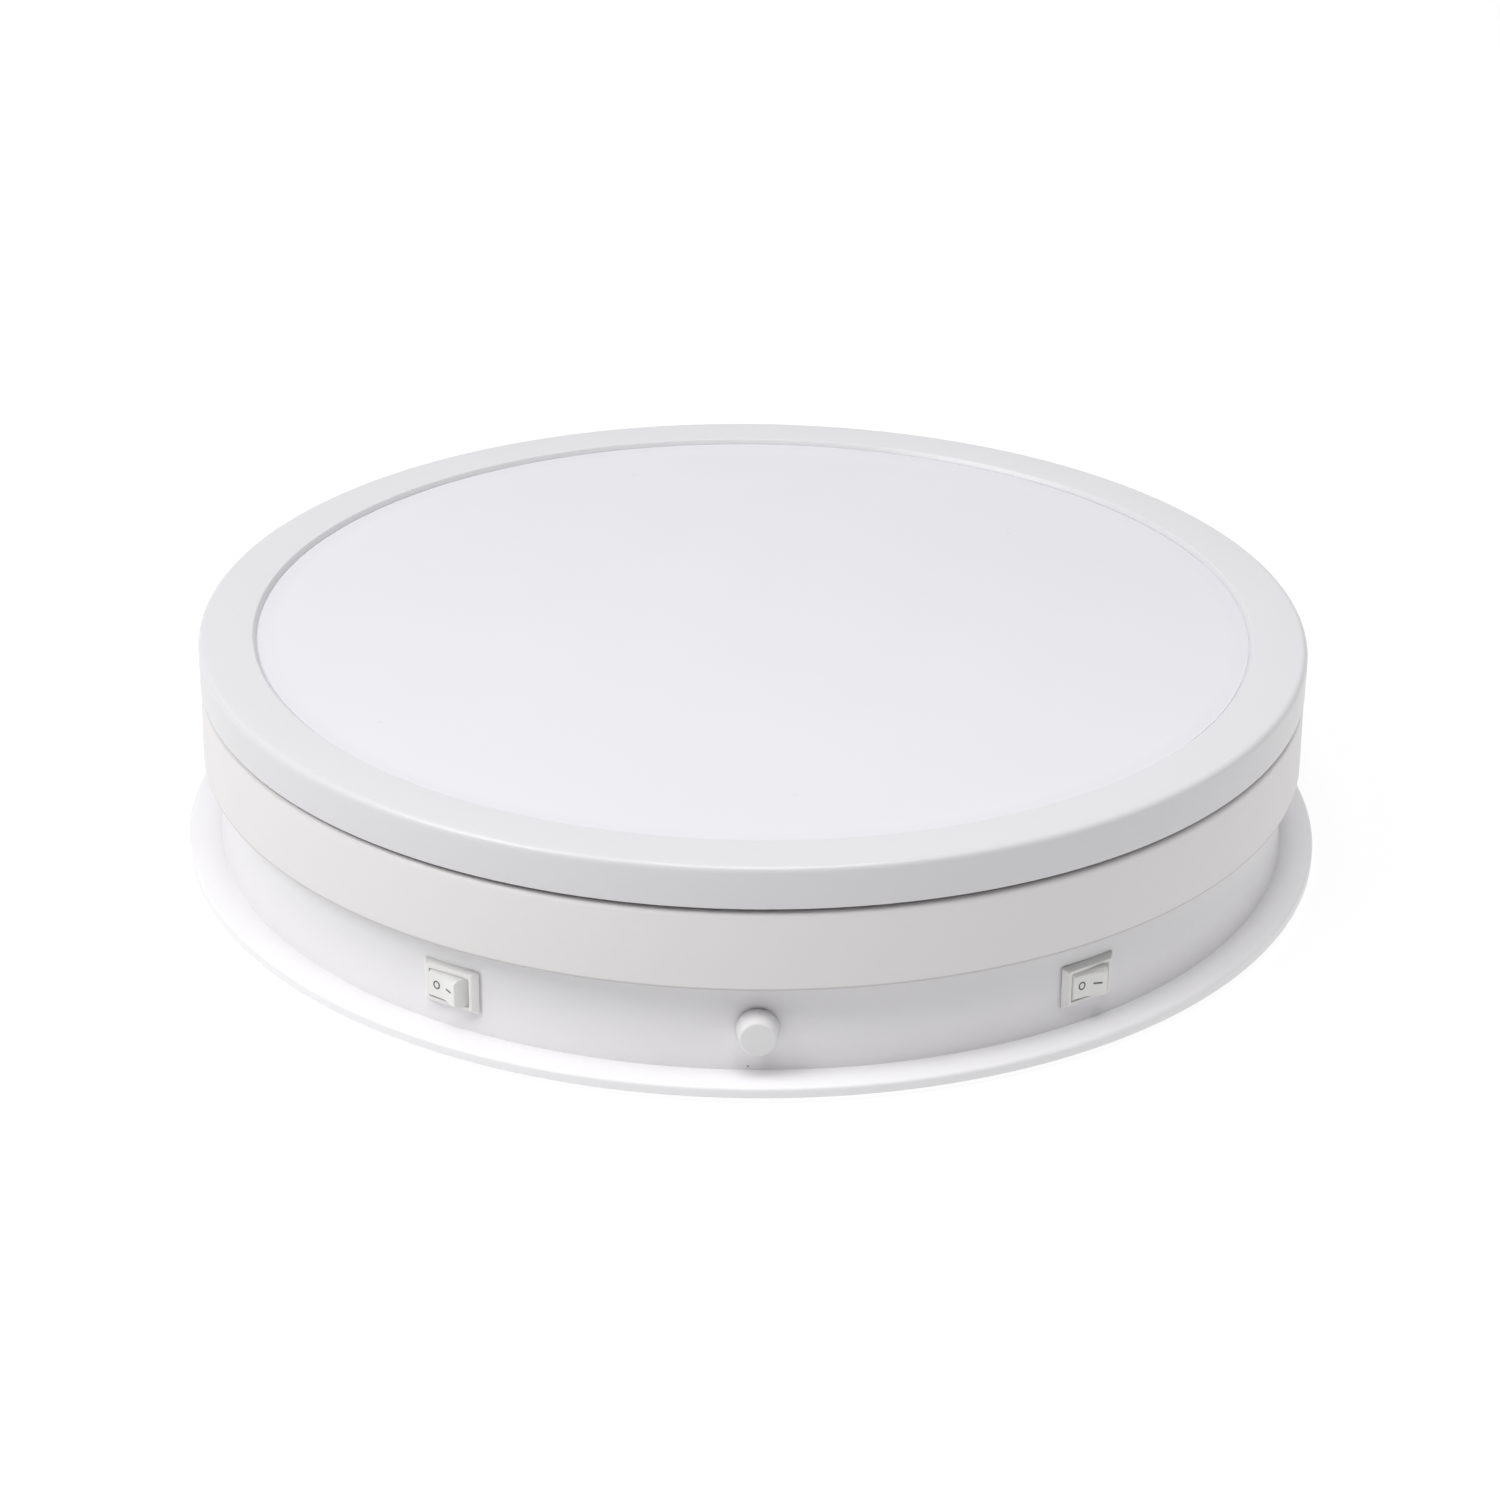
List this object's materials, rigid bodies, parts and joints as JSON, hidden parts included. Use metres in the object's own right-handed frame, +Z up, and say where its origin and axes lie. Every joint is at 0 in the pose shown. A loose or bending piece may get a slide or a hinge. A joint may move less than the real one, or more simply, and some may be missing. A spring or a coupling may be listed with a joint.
{
  "type": "lit display turntable",
  "caption": "Low round powered turntable: a wide flanged base with two rocker switches and a speed knob carries a turning drum topped by a flat round light panel.",
  "frame": {"origin": "centre of the surface that the rubber feet stand on, on the turning axis", "axes": "+Z up along the turning axis; the front, with the switches and the knob, faces -Y; +X to the right seen from the front"},
  "size_m": [0.3999, 0.4, 0.079],
  "materials": {
    "base_plastic": "satin white moulded plastic",
    "drum_plastic": "satin warm white moulded plastic",
    "frame_paint": "smooth white powder coat on aluminium",
    "diffuser_acrylic": "frosted milk-white acrylic sheet",
    "knob_plastic": "satin white moulded plastic",
    "switch_plastic": "semi-gloss white moulded plastic",
    "inner_plastic": "plain moulded plastic",
    "foot_rubber": "dark soft rubber",
    "screw_steel": "zinc-plated steel",
    "race_steel": "ground bearing steel",
    "gear_nylon": "natural nylon",
    "gearbox_steel": "plated steel sheet",
    "nut_metal": "nickel-plated metal",
    "contact_brass": "tinned brass",
    "shaft_aluminium": "plain aluminium",
    "jack_plastic": "black moulded plastic",
    "board_laminate": "green coated laminate",
    "terminal_plastic": "blue moulded plastic",
    "foam": "thin white foam sheet",
    "reflector_film": "matte white film",
    "guide_acrylic": "clear acrylic sheet",
    "strip_film": "white flexible circuit",
    "led_resin": "white lamp body with yellow resin",
    "cable_jacket": "dark grey jacket"
  },
  "bodies": {
    "base": {"base_shell": "base_plastic", "board_screws": "screw_steel", "board_standoffs": "nut_metal", "bottom_plate": "base_plastic", "bottom_screws": "screw_steel", "capacitors": "jack_plastic", "control_board": "board_laminate", "dc_jack": "jack_plastic", "dc_jack_nut": "nut_metal", "gearbox_case": "gearbox_steel", "heat_sink": "shaft_aluminium", "inductor": "jack_plastic", "inlet_cable": "cable_jacket", "left_switch_cable": "cable_jacket", "left_switch_housing": "switch_plastic", "left_switch_terminals": "contact_brass", "lower_race": "race_steel", "lower_race_screws": "screw_steel", "motor_cable": "cable_jacket", "motor_can": "gearbox_steel", "motor_screws": "screw_steel", "pot_body": "gearbox_steel", "pot_nut": "nut_metal", "power_transistor": "jack_plastic", "right_switch_cable": "cable_jacket", "right_switch_housing": "switch_plastic", "right_switch_terminals": "contact_brass", "rubber_feet": "foot_rubber", "slip_ring_cable": "cable_jacket", "slip_ring_screws": "screw_steel", "slip_ring_stator": "inner_plastic", "speed_cable": "cable_jacket", "terminal_blocks": "terminal_plastic"},
    "platter": {"upper_race": "race_steel", "upper_race_screws": "screw_steel", "drive_gear": "gear_nylon", "gear_screws": "screw_steel", "slip_ring_rotor": "inner_plastic", "platter_drum": "drum_plastic", "spacer_ring": "inner_plastic", "panel_screws": "screw_steel", "panel_frame": "frame_paint", "back_plate": "gearbox_steel", "back_plate_screws": "screw_steel", "foam_pad": "foam", "reflector_sheet": "reflector_film", "light_guide": "guide_acrylic", "guide_pins": "guide_acrylic", "led_strip": "strip_film", "led_chips": "led_resin", "diffuser": "diffuser_acrylic", "panel_cable": "cable_jacket"},
    "cage": {"bearing_cage": "inner_plastic", "bearing_balls": "race_steel"},
    "pinion": {"motor_shaft": "race_steel", "pinion_gear": "gear_nylon"},
    "knob": {"speed_knob": "knob_plastic", "pot_shaft": "shaft_aluminium"},
    "left_switch_button": {"left_rocker": "switch_plastic"},
    "right_switch_button": {"right_rocker": "switch_plastic"}
  },
  "joints": [
    {"name": "platter_spin", "type": "hinge", "parent": "base", "child": "platter", "pos_m": [0, 0, 0.055], "axis": [0, 0, 1], "continuous": true},
    {"name": "cage_spin", "type": "hinge", "parent": "base", "child": "cage", "pos_m": [0, 0, 0.0525], "axis": [0, 0, 1], "continuous": true},
    {"name": "pinion_spin", "type": "hinge", "parent": "base", "child": "pinion", "pos_m": [0, 0.07, 0.053], "axis": [0, 0, 1], "continuous": true},
    {"name": "knob_turn", "type": "hinge", "parent": "base", "child": "knob", "pos_m": [0, -0.188, 0.0204], "axis": [0, 1, 0], "range_deg": [0, 300]},
    {"name": "left_switch_rock", "type": "hinge", "parent": "base", "child": "left_switch_button", "pos_m": [-0.09554, -0.15901, 0.0198], "axis": [0, 0, 1], "range_deg": [0, 28]},
    {"name": "right_switch_rock", "type": "hinge", "parent": "base", "child": "right_switch_button", "pos_m": [0.10427, -0.15342, 0.0198], "axis": [0, 0, 1], "range_deg": [0, 28]}
  ],
  "couplings": [
    {"joint": "pinion_spin", "follows": "platter_spin", "ratio": -6},
    {"joint": "cage_spin", "follows": "platter_spin", "ratio": 0.5}
  ]
}
